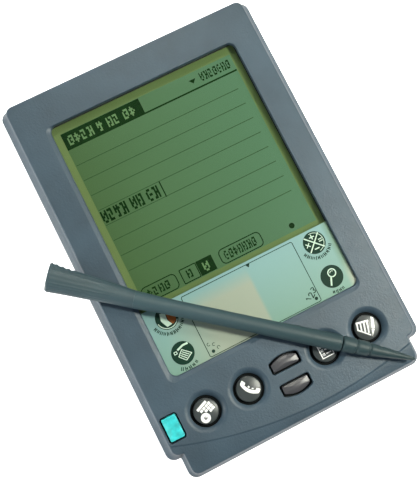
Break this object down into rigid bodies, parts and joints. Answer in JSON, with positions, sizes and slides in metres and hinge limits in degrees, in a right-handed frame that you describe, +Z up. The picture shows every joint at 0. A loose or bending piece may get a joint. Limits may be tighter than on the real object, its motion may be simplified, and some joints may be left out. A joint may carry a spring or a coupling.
{
  "type": "personal digital assistant",
  "caption": "Handheld organiser with a touch screen, writing area, push buttons and a stylus resting across its face.",
  "frame": {"origin": "the middle of the case's back face, which it lies on; the stylus overhangs the left side and is left out of that middle", "axes": "+X to the right seen from the front, +Y towards the top edge, +Z up out of the screen"},
  "size_m": [0.0909, 0.1194, 0.0229],
  "materials": {
    "case_plastic": "fine matt moulded texture, blue-grey",
    "button_plastic": "gloss dark grey with pale printed pictograms",
    "power_plastic": "satin bright teal",
    "touch_film": "clear, slight grey",
    "input_film": "satin pale green print",
    "display_glass": "reflective grey-green",
    "gasket_foam": "matt black foam",
    "keypad_rubber": "matt pale grey",
    "frame_plastic": "matt white",
    "backlight_sheet": "satin off-white",
    "circuit_board": "green solder mask",
    "chip_plastic": "matt black",
    "dark_plastic": "matt dark grey",
    "steel": "bright steel",
    "cable_film": "amber film",
    "cell_jacket": "printed blue jacket",
    "speaker_brass": "bright brass disc",
    "stylus_plastic": "satin dark green-grey"
  },
  "bodies": {
    "case": {"front_case": "case_plastic", "rear_case": "case_plastic", "touch_panel": "touch_film", "input_overlay": "input_film", "display_gasket": "gasket_foam", "display_glass": "display_glass", "display_frame": "frame_plastic", "backlight_panel": "backlight_sheet", "keypad_board": "circuit_board", "keypad_mat": "keypad_rubber", "main_board": "circuit_board", "processor_chip": "chip_plastic", "controller_chip": "chip_plastic", "clock_crystal": "steel", "backup_capacitor": "cell_jacket", "memory_socket": "dark_plastic", "memory_card": "circuit_board", "memory_chip_left": "chip_plastic", "memory_chip_right": "chip_plastic", "reset_switch": "dark_plastic", "speaker_disc": "speaker_brass", "contrast_control": "dark_plastic", "serial_connector": "dark_plastic", "display_cable": "cable_film", "touch_cable": "cable_film", "keypad_cable": "cable_film", "battery_upper": "cell_jacket", "battery_lower": "cell_jacket", "spring_contact_upper": "steel", "spring_contact_lower": "steel", "plate_contact_upper": "steel", "plate_contact_lower": "steel", "case_screw_top_left": "steel", "case_screw_top_right": "steel", "case_screw_bottom_left": "steel", "case_screw_bottom_right": "steel", "stylus_silo": "dark_plastic"},
    "calendar_button": {"calendar_button": "button_plastic"},
    "phone_button": {"phone_button": "button_plastic"},
    "task_button": {"task_button": "button_plastic"},
    "memo_button": {"memo_button": "button_plastic"},
    "scroll_up_button": {"scroll_up_button": "button_plastic"},
    "scroll_down_button": {"scroll_down_button": "button_plastic"},
    "power_button": {"power_button": "power_plastic"},
    "reset_button": {"reset_button": "dark_plastic"},
    "contrast_wheel": {"contrast_wheel": "dark_plastic"},
    "memory_door": {"memory_door": "case_plastic"},
    "battery_door": {"battery_door": "case_plastic"},
    "connector_cover": {"connector_cover": "case_plastic"},
    "stylus": {"stylus_barrel": "stylus_plastic", "stylus_tip": "stylus_plastic"},
    "stylus_cap": {"stylus_cap": "stylus_plastic", "reset_pin": "steel"}
  },
  "joints": [
    {"name": "calendar_press", "type": "slide", "parent": "case", "child": "calendar_button", "axis": [0, 0, -1], "range_m": [0, 0.0006], "stiffness_N_per_m": 1500, "springref_m": -0.0003},
    {"name": "phone_press", "type": "slide", "parent": "case", "child": "phone_button", "axis": [0, 0, -1], "range_m": [0, 0.0006], "stiffness_N_per_m": 1500, "springref_m": -0.0003},
    {"name": "task_press", "type": "slide", "parent": "case", "child": "task_button", "axis": [0, 0, -1], "range_m": [0, 0.0006], "stiffness_N_per_m": 1500, "springref_m": -0.0003},
    {"name": "memo_press", "type": "slide", "parent": "case", "child": "memo_button", "axis": [0, 0, -1], "range_m": [0, 0.0006], "stiffness_N_per_m": 1500, "springref_m": -0.0003},
    {"name": "scroll_up_press", "type": "slide", "parent": "case", "child": "scroll_up_button", "axis": [0, 0, -1], "range_m": [0, 0.0006], "stiffness_N_per_m": 1500, "springref_m": -0.0003},
    {"name": "scroll_down_press", "type": "slide", "parent": "case", "child": "scroll_down_button", "axis": [0, 0, -1], "range_m": [0, 0.0006], "stiffness_N_per_m": 1500, "springref_m": -0.0003},
    {"name": "power_press", "type": "slide", "parent": "case", "child": "power_button", "axis": [0, 0, -1], "range_m": [0, 0.0006], "stiffness_N_per_m": 1500, "springref_m": -0.0003},
    {"name": "reset_press", "type": "slide", "parent": "case", "child": "reset_button", "axis": [0, 0, 1], "range_m": [0, 0.0005], "stiffness_N_per_m": 800, "springref_m": -0.0003},
    {"name": "contrast_turn", "type": "hinge", "parent": "case", "child": "contrast_wheel", "pos_m": [-0.0346, 0.024, 0.0065], "axis": [0, 0, 1], "range_deg": [-130, 130]},
    {"name": "memory_door_slide", "type": "slide", "parent": "case", "child": "memory_door", "axis": [0, 1, 0], "range_m": [0, 0.032]},
    {"name": "battery_door_hinge", "type": "hinge", "parent": "case", "child": "battery_door", "pos_m": [-0.0031, -0.0243, 0], "axis": [1, 0, 0], "range_deg": [0, 100]},
    {"name": "connector_cover_hinge", "type": "hinge", "parent": "case", "child": "connector_cover", "pos_m": [0, -0.059, 0.0032], "axis": [1, 0, 0], "range_deg": [0, 95]},
    {"name": "stylus_lift", "type": "slide", "parent": "case", "child": "stylus", "axis": [0, 0, 1], "range_m": [0, 0.05]},
    {"name": "stylus_cap_pull", "type": "slide", "parent": "stylus", "child": "stylus_cap", "axis": [-0.7804, 0.6252, 0], "range_m": [0, 0.022]}
  ]
}
